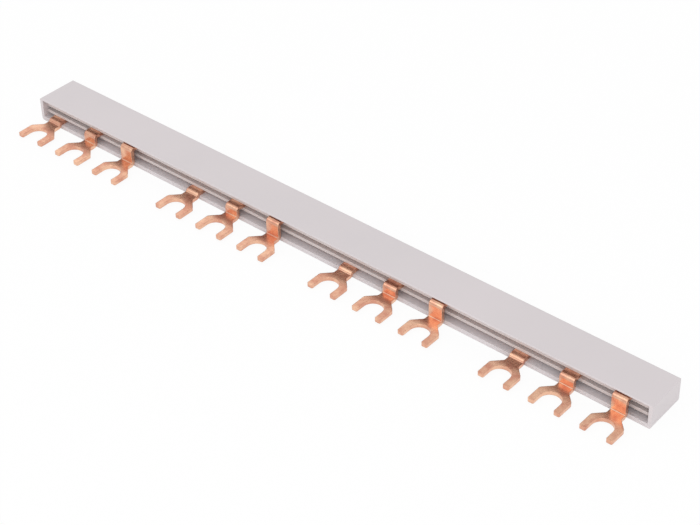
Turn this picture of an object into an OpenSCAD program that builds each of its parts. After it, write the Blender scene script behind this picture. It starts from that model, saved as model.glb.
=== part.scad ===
// Comb busbar for three phases: three stamped and bent copper combs lie one above
// the other in a moulded housing that is open along its front. Two loose strips keep
// the combs apart. All forks come down to one level in front of the housing.
// X runs along the busbar, the forks point to -Y and Z is up.
// The origin is under the middle of the whole part, on the face that it rests on.

/* [Layout] */
// Number of devices that are fed, each with one fork per phase
groups = 4; // [1:1:6]
// Distance from one device's first fork to the next device's
group_pitch = 54; // [48:0.5:72]
// Distance between the neighbouring forks of one device
fork_pitch = 14.7; // [12:0.1:15.5]
// Housing to the left of the first fork's centre line
left_margin = 6.2; // [5:0.1:20]
// Housing to the right of the last fork's centre line
right_margin = 8.4; // [5:0.1:20]

/* [Housing] */
// Depth of the housing, from its open front to its back
housing_depth = 12.6; // [10:0.1:25]
// Thickness of the bottom wall
bottom_wall = 1.4; // [1:0.05:2.5]
// Thickness of the top wall
top_wall = 0.45; // [0.35:0.05:1.5]
// Thickness of the back wall
back_wall = 1; // [0.6:0.05:2]
// Thickness of the end walls
end_wall = 1.05; // [0.6:0.05:1.5]
// How far each end closes in from the open front to the back
end_draft = 0.35; // [0:0.05:0.6]
// Radius along the lower edges of the two ends
lower_end_r = 1; // [0.3:0.05:1.2]
// Radius along the upper edges of the two ends
upper_end_r = 0.3; // [0.1:0.05:1]
// Radius along the lower and upper edges of the back
back_r = 0.4; // [0.1:0.05:0.8]
// Radius along the lower and upper edges of the open front
front_r = 0.15; // [0.05:0.05:0.3]
// Radius of the upright corners at the back
corner_r = 0.4; // [0.1:0.05:0.8]
// Radius of the cavity's upright corners
cavity_r = 0.3; // [0.1:0.05:0.6]

/* [Insulating strips] */
// Thickness of the two strips between the combs
strip_t = 0.9; // [0.4:0.05:2]
// Distance from the open front to the lower strip
lower_recess = 1.35; // [0.6:0.05:2.5]
// Distance from the open front to the upper strip
upper_recess = 1.55; // [0.6:0.05:2.5]
// Gap between a strip and the walls round it
strip_gap = 0.15; // [0.05:0.05:0.4]
// Free height between the upper comb and the top wall
stack_play = 0.35; // [0.1:0.05:1]

/* [Copper combs] */
// Thickness of the copper sheet
copper_t = 1.05; // [0.6:0.05:1.5]
// Distance from the open front to the combs' bars
bar_recess = 3.2; // [2.5:0.1:5]
// Gap between the combs' bars and the housing's back and end walls
bar_gap = 0.3; // [0.1:0.05:1]
// How far a bar runs past the centre lines of its outer forks
bar_end = 4; // [2.5:0.1:4.4]
// Radius of the bars' corners
bar_r = 0.5; // [0.2:0.1:1.5]
// Radius where a tongue meets its bar
root_r = 0.6; // [0.2:0.1:1]

/* [Forks] */
// Distance from the open front to the tips of the prongs
fork_reach = 10.45; // [9:0.05:15]
// Width over the two prongs
fork_w = 9.2; // [8:0.1:11]
// Width of the slot for the terminal screw
slot_w = 5.7; // [3:0.1:6.2]
// Distance from the open front to the middle of the slot's round end
slot_reach = 7.6; // [7:0.05:11]
// Width of the neck, the upright leg and the tongue behind it
neck_w = 4.1; // [2.5:0.1:5]
// Distance from the open front to where the shoulders begin
neck_reach = 2.9; // [2.6:0.05:5]
// How far the lower comb's forks step down from their bar
first_step = 0.8; // [0.2:0.05:1]
// Gap between the upright legs and the open front
leg_gap = 0.15; // [0.05:0.05:0.5]
// Inside radius of the upper bend
upper_bend_r = 0.15; // [0.05:0.05:0.5]
// Inside radius of the lower bend
lower_bend_r = 0.3; // [0.1:0.05:0.5]
// Radius where the neck runs into the shoulders
neck_r = 0.9; // [0.2:0.1:1.5]
// Radius where the shoulders run into the prongs
shoulder_r = 1; // [0.2:0.1:2]
// Radius of the corners of the prongs' tips
tip_r = 0.4; // [0.1:0.05:0.8]

/* [Hidden] */
$fn = 64;

// Lengths: the outer forks stand at their margins from the two ends
phases = 3;
length = left_margin + (groups - 1) * group_pitch + (phases - 1) * fork_pitch + right_margin;
first_x = left_margin - length / 2;
function fork_x(k, g) = first_x + k * fork_pitch + g * group_pitch;

// Depths are counted from the open front: to the back in the housing, and to the
// prong tips in front of it. The tips and the housing's back lie evenly about y = 0.
front_y = (fork_reach - housing_depth) / 2;
cavity_depth = housing_depth - back_wall;
draft_angle = atan(end_draft / housing_depth);
bar_depth = cavity_depth - bar_gap;

// Heights: every layer lies on the one below it
layer = copper_t + strip_t;
cavity_h = phases * copper_t + (phases - 1) * strip_t + stack_play;
height = bottom_wall + cavity_h + top_wall;
function comb_z(k) = bottom_wall + k * layer;
function strip_z(k) = comb_z(k) + copper_t;
fork_z = bottom_wall - first_step;

// The forks: half widths, 45 degree shoulders and the tangent lengths of their fillets
neck_half = neck_w / 2;
fork_half = fork_w / 2;
slot_half = slot_w / 2;
shoulder_reach = neck_reach + fork_half - neck_half;
neck_fillet = neck_r * tan(22.5);
shoulder_fillet = shoulder_r * tan(22.5);
prong_w = fork_half - slot_half;
prong_r = min(tip_r, prong_w / 2.2);

// The bends: outside radius of the upper one, and the drop that two full bends need
upper_out_r = upper_bend_r + copper_t;
lower_out_r = lower_bend_r + copper_t;
full_drop = upper_out_r + lower_bend_r;

// ---- placing ----------------------------------------------------------------------

// A drawing of depth and height, swept along the whole busbar: depth to the back
module along_x() {
    translate([0, front_y, 0]) rotate([90, 0, 90]) linear_extrude(2 * length, center = true)
        children();
}

// A drawing of x and depth, set at the open front
module at_front() {
    translate([0, front_y]) children();
}

// ---- plans of the housing, its cavity and the strips --------------------------------

// From one depth to another, closing in with the ends' draft, with round back corners.
// half is half of the length at the open front.
module drafted_plan(half, near, far, r) {
    cy = far - r;
    cx = half - cy * tan(draft_angle) - r / cos(draft_angle);
    side = half - near * tan(draft_angle);
    tx = cx + r * cos(draft_angle);
    ty = cy + r * sin(draft_angle);
    at_front() polygon([[-side, near], [side, near], [tx, ty], [cx, far], [-cx, far], [-tx, ty]]);
    for (x = [-cx, cx]) at_front() translate([x, cy]) circle(r);
}

// A strip fits in the cavity with the same gap at its ends and its back
module strip_plan(recess) {
    drafted_plan(length / 2 - end_wall - strip_gap, recess, cavity_depth - strip_gap, cavity_r);
}

// ---- housing ------------------------------------------------------------------------

// Section over depth and height, with the four long edges rounded
module depth_section() {
    translate([front_r, 0]) square([housing_depth - front_r - back_r, height]);
    translate([0, front_r]) square([housing_depth / 2, height - 2 * front_r]);
    translate([housing_depth / 2, back_r]) square([housing_depth / 2, height - 2 * back_r]);
    for (z = [front_r, height - front_r]) translate([front_r, z]) circle(front_r);
    for (z = [back_r, height - back_r]) translate([housing_depth - back_r, z]) circle(back_r);
}

// Section over x and height, with the right end's two edges rounded
module end_section() {
    low = lower_end_r;
    high = upper_end_r;
    mid = height / 2;
    translate([-2 * length, 0]) square([2 * length - low, mid]);
    translate([-2 * length, mid]) square([2 * length - high, mid]);
    translate([-2 * length, low]) square([2 * length, height - low - high]);
    translate([-low, low]) circle(low);
    translate([-high, height - high]) circle(high);
}

// The right end's rounding follows that end's draft
module end_mask() {
    translate([length / 2, front_y, 0]) rotate([0, 0, draft_angle]) rotate([90, 0, 0])
        linear_extrude(4 * housing_depth, center = true) end_section();
}

module housing() {
    color("#dcd2d0") difference() {
        intersection() {
            translate([0, 0, -1]) linear_extrude(height + 2)
                drafted_plan(length / 2, -1, housing_depth, corner_r);
            along_x() depth_section();
            end_mask();
            mirror([1, 0, 0]) end_mask();
        }
        translate([0, 0, bottom_wall]) linear_extrude(cavity_h)
            drafted_plan(length / 2 - end_wall, -1, cavity_depth, cavity_r);
    }
}

// ---- strips -------------------------------------------------------------------------

module strip(k, recess) {
    translate([0, 0, strip_z(k)]) linear_extrude(strip_t) strip_plan(recess);
}

module lower_strip() {
    color("#cbbfbc") strip(0, lower_recess);
}

module upper_strip() {
    color("#cbbfbc") strip(1, upper_recess);
}

// ---- combs --------------------------------------------------------------------------

// Outline of one fork over x and depth: tongue, neck, shoulders and prongs
module fork_outline() {
    c = cos(45);
    nx = neck_half + neck_fillet * c;
    ny = neck_reach + neck_fillet * c;
    sx = fork_half - shoulder_fillet * c;
    sy = shoulder_reach - shoulder_fillet * c;
    right = [
        [neck_half, -bar_recess - bar_r],
        [neck_half, neck_reach - neck_fillet],
        [nx, ny],
        [sx, sy],
        [fork_half, shoulder_reach + shoulder_fillet],
        [fork_half, fork_reach - prong_r]
    ];
    left = [for (i = [len(right) - 1:-1:0]) [-right[i][0], right[i][1]]];
    difference() {
        union() {
            polygon(concat(right, left));
            for (s = [-1, 1]) translate([s * (fork_half - shoulder_r), shoulder_reach + shoulder_fillet])
                circle(shoulder_r);
        }
        for (s = [-1, 1]) translate([s * (neck_half + neck_r), neck_reach - neck_fillet])
            circle(neck_r);
        translate([0, slot_reach]) circle(slot_half);
        translate([-slot_half, slot_reach]) square([slot_w, fork_reach]);
    }
    for (s = [-1, 1]) translate([s * (fork_half + slot_half) / 2, fork_reach - prong_r])
        prong_tip();
}

// The end of a prong: a flat tip between two round corners
module prong_tip() {
    flat_w = prong_w - 2 * prong_r;
    translate([-flat_w / 2, -prong_r]) square([flat_w, 2 * prong_r]);
    for (s = [-1, 1]) translate([s * flat_w / 2, 0]) circle(prong_r);
}

// The round corners between a tongue and its bar
module root_fillets() {
    for (s = [-1, 1]) translate([s * (neck_half + root_r), root_r - bar_recess]) difference() {
        translate([s < 0 ? 0 : -root_r, -root_r]) square(root_r);
        circle(root_r);
    }
}

// The bar of comb k lies behind all its forks, clear of the walls
module bar_outline(k) {
    ends = end_wall + end_draft + bar_gap;
    low = fork_x(k, 0) - min(bar_end, left_margin + k * fork_pitch - ends);
    high = fork_x(k, groups - 1) + min(bar_end, right_margin + (phases - 1 - k) * fork_pitch - ends);
    deep = bar_depth - bar_recess;
    translate([low + bar_r, -bar_depth]) square([high - low - 2 * bar_r, deep]);
    translate([low, bar_r - bar_depth]) square([high - low, deep - 2 * bar_r]);
    for (x = [low + bar_r, high - bar_r], y = [bar_r - bar_depth, -bar_recess - bar_r])
        translate([x, y]) circle(bar_r);
}

module comb_outline(k) {
    at_front() mirror([0, 1]) {
        bar_outline(k);
        for (g = [0:groups - 1]) translate([fork_x(k, g), 0]) {
            fork_outline();
            root_fillets();
        }
    }
}

// A bend of the sheet about its centre, within a sector that is given by its corners
module bend(centre, r, sector) {
    intersection() {
        translate(centre) difference() {
            circle(r + copper_t);
            circle(r);
        }
        polygon(concat([centre], sector));
    }
}

// The bent sheet over depth in front and height: tongue, upper bend, upright leg,
// lower bend and fork. With less drop than two full bends need, both turn less, and
// they meet on the line between their centres.
module sheet_section(k) {
    tongue_z = comb_z(k);
    drop = tongue_z - fork_z;
    full = drop > full_drop;
    turn = full ? 90 : acos(1 - drop / full_drop);
    a = [leg_gap - upper_bend_r, tongue_z - upper_bend_r];
    b = [a[0] + full_drop * sin(turn), fork_z + lower_out_r];
    far = 2 * full_drop;
    translate([-housing_depth, tongue_z]) square([housing_depth + a[0], copper_t]);
    bend(a, upper_bend_r, [a + [0, far], a + [far, far], full ? a + [far, 0] : b]);
    if (full) translate([leg_gap, b[1]]) square([copper_t, a[1] - b[1]]);
    bend(b, lower_bend_r, [b - [0, far], b - [far, far], full ? b - [far, 0] : a]);
    translate([b[0], fork_z]) square([fork_reach + 1 - b[0], copper_t]);
}

module comb(k) {
    intersection() {
        linear_extrude(height) comb_outline(k);
        along_x() mirror([1, 0]) sheet_section(k);
    }
}

module lower_comb() {
    color("#c98a5e") comb(0);
}

module middle_comb() {
    color("#d08f66") comb(1);
}

module upper_comb() {
    color("#c4845a") comb(2);
}

housing();
lower_strip();
upper_strip();
lower_comb();
middle_comb();
upper_comb();
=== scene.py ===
# %% [markdown]
# A comb busbar feeds a row of motor starters from three phases. Its copper forks slide
# under the terminal screws, and a light grey plastic housing keeps the live bars covered.
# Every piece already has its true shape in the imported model, so this lesson is about
# surfaces, light and camera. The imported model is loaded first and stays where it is.

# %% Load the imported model
import math

import bpy
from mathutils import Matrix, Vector

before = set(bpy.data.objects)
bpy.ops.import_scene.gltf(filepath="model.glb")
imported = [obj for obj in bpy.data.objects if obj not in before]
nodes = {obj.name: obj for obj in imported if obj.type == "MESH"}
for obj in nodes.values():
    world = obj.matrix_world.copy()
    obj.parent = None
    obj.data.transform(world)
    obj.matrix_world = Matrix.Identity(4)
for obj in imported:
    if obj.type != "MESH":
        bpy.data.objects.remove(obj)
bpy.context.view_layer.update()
print("pieces:", ", ".join(sorted(nodes)))

# %% [markdown]
# Colours are written as they look on a screen, in hex. Shaders work with linear light, so
# one function turns the first into the second. A second small function adds a node, sets
# it up and links it, which keeps every material below short.

# %% Colour and node helpers
def hex_linear(code):
    """A colour like "d9d1d3" as linear red, green and blue, with full opacity."""
    parts = [int(code[i:i + 2], 16) / 255 for i in (0, 2, 4)]
    linear = [c / 12.92 if c <= 0.04045 else ((c + 0.055) / 1.055) ** 2.4 for c in parts]
    return (*linear, 1)


def add(tree, kind, settings=None, **inputs):
    """A new node. An input is given by name, with _ for a space, or by number after a _."""
    node = tree.nodes.new(kind)
    for key, value in (settings or {}).items():
        setattr(node, key, value)
    for key, value in inputs.items():
        number = key[1:]
        socket = node.inputs[int(number) if number.isdigit() else key.replace("_", " ")]
        if isinstance(value, bpy.types.NodeSocket):
            tree.links.new(value, socket)
        else:
            socket.default_value = value
    return node


def per_mm(size):
    """Scale for a texture whose features are this many millimetres, on metre coordinates."""
    return 1000 / size


housing_grey = "d9d1d3"
print("housing grey as linear light:", [round(c, 3) for c in hex_linear(housing_grey)[:3]])

# %% [markdown]
# Each finish starts the same way: an empty material with one Principled shader, and the
# piece's own coordinates, which run in metres because every piece keeps its place. Real
# edges are never knife sharp: a moulded edge has a radius of a tenth of a millimetre, and a
# stamped one is rolled over on the punch side. A bevel node bends the shading there, so
# that each edge catches light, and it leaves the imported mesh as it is. The finest relief,
# grain or rolling lines, is given as 0.02 mm deep on every piece.

# %% Start of a finish
relief = 0.02 / 1000


def start_finish(name, edge_mm):
    finish = bpy.data.materials.new(name)
    finish.use_nodes = True
    tree = finish.node_tree
    tree.nodes.clear()
    place = add(tree, "ShaderNodeTexCoord").outputs["Object"]
    edges = add(tree, "ShaderNodeBevel", {"samples": 8}, Radius=edge_mm / 1000).outputs[0]
    shader = add(tree, "ShaderNodeBsdfPrincipled")
    add(tree, "ShaderNodeOutputMaterial", Surface=shader.outputs[0])
    return finish, tree, place, edges, shader


def connect_finish(tree, shader, tint, gloss, bump):
    tree.links.new(tint.outputs[2], shader.inputs["Base Color"])
    tree.links.new(gloss.outputs[0], shader.inputs["Roughness"])
    tree.links.new(bump.outputs[0], shader.inputs["Normal"])


print("finest relief in mm:", round(1000 * relief, 3))


# %% [markdown]
# The housing is rigid PVC or a similar filled thermoplastic, injection moulded and light
# warm grey. A spark-eroded mould leaves a very fine grain, so the skin is satin: it scatters
# most light and still shows a soft sheen. The grain of about 0.05 mm is drawn at 0.25 mm so
# that it can show at all. A slow change of tone over some 30 mm stands for flow in the mould.

# %% Moulded grey plastic
def moulded_plastic(name, tone, deeper, rough):
    finish, tree, place, edges, shader = start_finish(name, edge_mm=0.12)
    flow = add(tree, "ShaderNodeTexNoise", Vector=place, Scale=per_mm(30), Detail=2)
    grain = add(tree, "ShaderNodeTexNoise", Vector=place, Scale=per_mm(0.25), Detail=3)
    tint = add(tree, "ShaderNodeMix", {"data_type": "RGBA"}, _0=flow.outputs[0],
               _6=hex_linear(deeper), _7=hex_linear(tone))
    gloss = add(tree, "ShaderNodeMapRange", Value=grain.outputs[0],
                To_Min=rough - 0.05, To_Max=rough + 0.07)
    bump = add(tree, "ShaderNodeBump", Height=grain.outputs[0], Normal=edges,
               Strength=0.12, Distance=relief)
    connect_finish(tree, shader, tint, gloss, bump)
    shader.inputs["IOR"].default_value = 1.52
    print(name, "made with", len(tree.nodes), "nodes")
    return finish


housing_pvc = moulded_plastic("moulded_pvc_housing", housing_grey, "d0cacc", rough=0.46)
strip_pvc = moulded_plastic("extruded_pvc_strip", "d0c6c4", "cdc2c0", rough=0.42)

# %% [markdown]
# The combs are electrolytic copper, cold rolled, stamped and left bare. Rolling leaves
# hair-fine lines along the busbar, 0.12 mm apart and 25 times as long, so highlights stretch
# across them. Handling and air bring a faint change between pale new metal and redder
# patches of a few millimetres.

# %% Rolled copper
def rolled_copper():
    finish, tree, place, edges, shader = start_finish("rolled_bare_copper", edge_mm=0.15)
    along = add(tree, "ShaderNodeMapping", Vector=place, Scale=(1 / 25, 1, 1))
    lines = add(tree, "ShaderNodeTexNoise", Vector=along.outputs[0],
                Scale=per_mm(0.12), Detail=4)
    patches = add(tree, "ShaderNodeTexNoise", Vector=place,
                  Scale=per_mm(3), Detail=4, Roughness=0.6)
    spread = add(tree, "ShaderNodeMapRange", Value=patches.outputs[0],
                 From_Min=0.38, From_Max=0.62)
    tint = add(tree, "ShaderNodeMix", {"data_type": "RGBA"}, _0=spread.outputs[0],
               _6=hex_linear("f1c2a4"), _7=hex_linear("d99c84"))
    gloss = add(tree, "ShaderNodeMapRange", Value=lines.outputs[0], To_Min=0.2, To_Max=0.36)
    bump = add(tree, "ShaderNodeBump", Height=lines.outputs[0], Normal=edges,
               Strength=0.15, Distance=relief)
    connect_finish(tree, shader, tint, gloss, bump)
    shader.inputs["Metallic"].default_value = 1
    print("rolled_bare_copper made with", len(tree.nodes), "nodes")
    return finish


copper = rolled_copper()

# %% [markdown]
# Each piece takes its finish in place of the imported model's plain colour.

# %% Dress the pieces
finish_of = {"housing": housing_pvc, "lower_strip": strip_pvc, "upper_strip": strip_pvc,
             "lower_comb": copper, "middle_comb": copper, "upper_comb": copper}
for name, piece in nodes.items():
    for slot in piece.material_slots:
        slot.material = finish_of[name]
    print(f"{name}: {len(piece.data.polygons)} faces, {finish_of[name].name}")

# %% [markdown]
# The floor is plain white. Seen by the camera or in the copper, most of it glows at pure
# white, and the rest stays an ordinary matte surface, so that the busbar keeps a soft
# shadow. The same test of the ray serves the floor and the tent, so it is a function of
# its own.

# %% White floor
def seen_directly(tree, *kinds):
    ray = add(tree, "ShaderNodeLightPath")
    seen = ray.outputs[f"Is {kinds[0]} Ray"]
    for kind in kinds[1:]:
        either = add(tree, "ShaderNodeMath", {"operation": "MAXIMUM"},
                     _0=seen, _1=ray.outputs[f"Is {kind} Ray"])
        seen = either.outputs[0]
    return seen


def white_floor(side, glow_part, paper_white):
    bpy.ops.mesh.primitive_plane_add(size=side)
    floor = bpy.context.object
    floor.name = "floor"
    paper = bpy.data.materials.new("white_paper_floor")
    paper.use_nodes = True
    tree = paper.node_tree
    tree.nodes.clear()
    seen = seen_directly(tree, "Camera", "Glossy", "Transmission")
    part = add(tree, "ShaderNodeMath", {"operation": "MULTIPLY"}, _0=seen, _1=glow_part)
    matte = add(tree, "ShaderNodeBsdfDiffuse", Color=(paper_white, paper_white, paper_white, 1))
    glow = add(tree, "ShaderNodeEmission", Color=(1, 1, 1, 1), Strength=1)
    both = add(tree, "ShaderNodeMixShader",
               _0=part.outputs[0], _1=matte.outputs[0], _2=glow.outputs[0])
    add(tree, "ShaderNodeOutputMaterial", Surface=both.outputs[0])
    floor.data.materials.append(paper)
    return floor


floor = white_floor(side=6, glow_part=0.93, paper_white=0.95)
print("floor at the housing's underside, z =", floor.location.z)

# %% [markdown]
# A light tent surrounds small metal parts with soft white, so that copper shows its own
# colour and not dark holes. The world is that tent: white where the camera sees it, and a
# plain level a little under white in its light and in reflections. Three large, weak lamps
# add direction: one low at the right front, one high at the left front, one high behind.

# %% Light tent
def light_tent(as_light, reflected):
    world = bpy.data.worlds.new("light_tent")
    bpy.context.scene.world = world
    world.use_nodes = True
    tree = world.node_tree
    tree.nodes.clear()
    mirrored = seen_directly(tree, "Glossy")
    other = add(tree, "ShaderNodeMapRange", Value=mirrored, To_Min=as_light, To_Max=reflected)
    white = seen_directly(tree, "Camera", "Transmission")
    level = add(tree, "ShaderNodeMath", {"operation": "MAXIMUM"}, _0=white, _1=other.outputs[0])
    sky = add(tree, "ShaderNodeBackground", Color=(1, 1, 1, 1), Strength=level.outputs[0])
    add(tree, "ShaderNodeOutputWorld", Surface=sky.outputs[0])


def soft_lamp(name, place, size, power):
    """A round lamp of this size in metres and power in watts, aimed at the busbar."""
    lamp = bpy.data.lights.new(name, "AREA")
    lamp.shape = "DISK"
    lamp.size = size
    lamp.energy = power
    item = bpy.data.objects.new(name, lamp)
    bpy.context.collection.objects.link(item)
    item.location = place
    item.rotation_euler = (-Vector(place)).to_track_quat("-Z", "Y").to_euler()
    print(name, "at", place, "with", power, "W")


light_tent(as_light=0.86, reflected=0.8)
soft_lamp("front_lamp", (0.5, -0.7, 0.35), size=0.5, power=1.7)
soft_lamp("left_front_lamp", (-0.45, -0.75, 0.85), size=0.7, power=1.2)
soft_lamp("left_back_lamp", (-0.95, 0.6, 1.05), size=0.8, power=0.65)

# %% [markdown]
# The camera looks down at the front from the right, as a catalogue picture does. A long
# lens from half a metre draws the busbar with little perspective, and the slight roll is
# that of a camera held by hand.

# %% Camera
tilt, roll, turn = 51.946, 1.081, 40.221
view = bpy.data.cameras.new("catalogue_view")
view.sensor_width = 36
view.lens = 99.55
camera = bpy.data.objects.new("catalogue_view", view)
bpy.context.collection.objects.link(camera)
camera.location = (0.266181, -0.292608, 0.307124)
camera.rotation_euler = [math.radians(angle) for angle in (tilt, roll, turn)]
bpy.context.scene.camera = camera
print("camera looks down by", round(90 - tilt, 1), "degrees")

# %% [markdown]
# Colours are shown as they are, with no film look on top.

bpy.context.scene.view_settings.view_transform = "Standard"
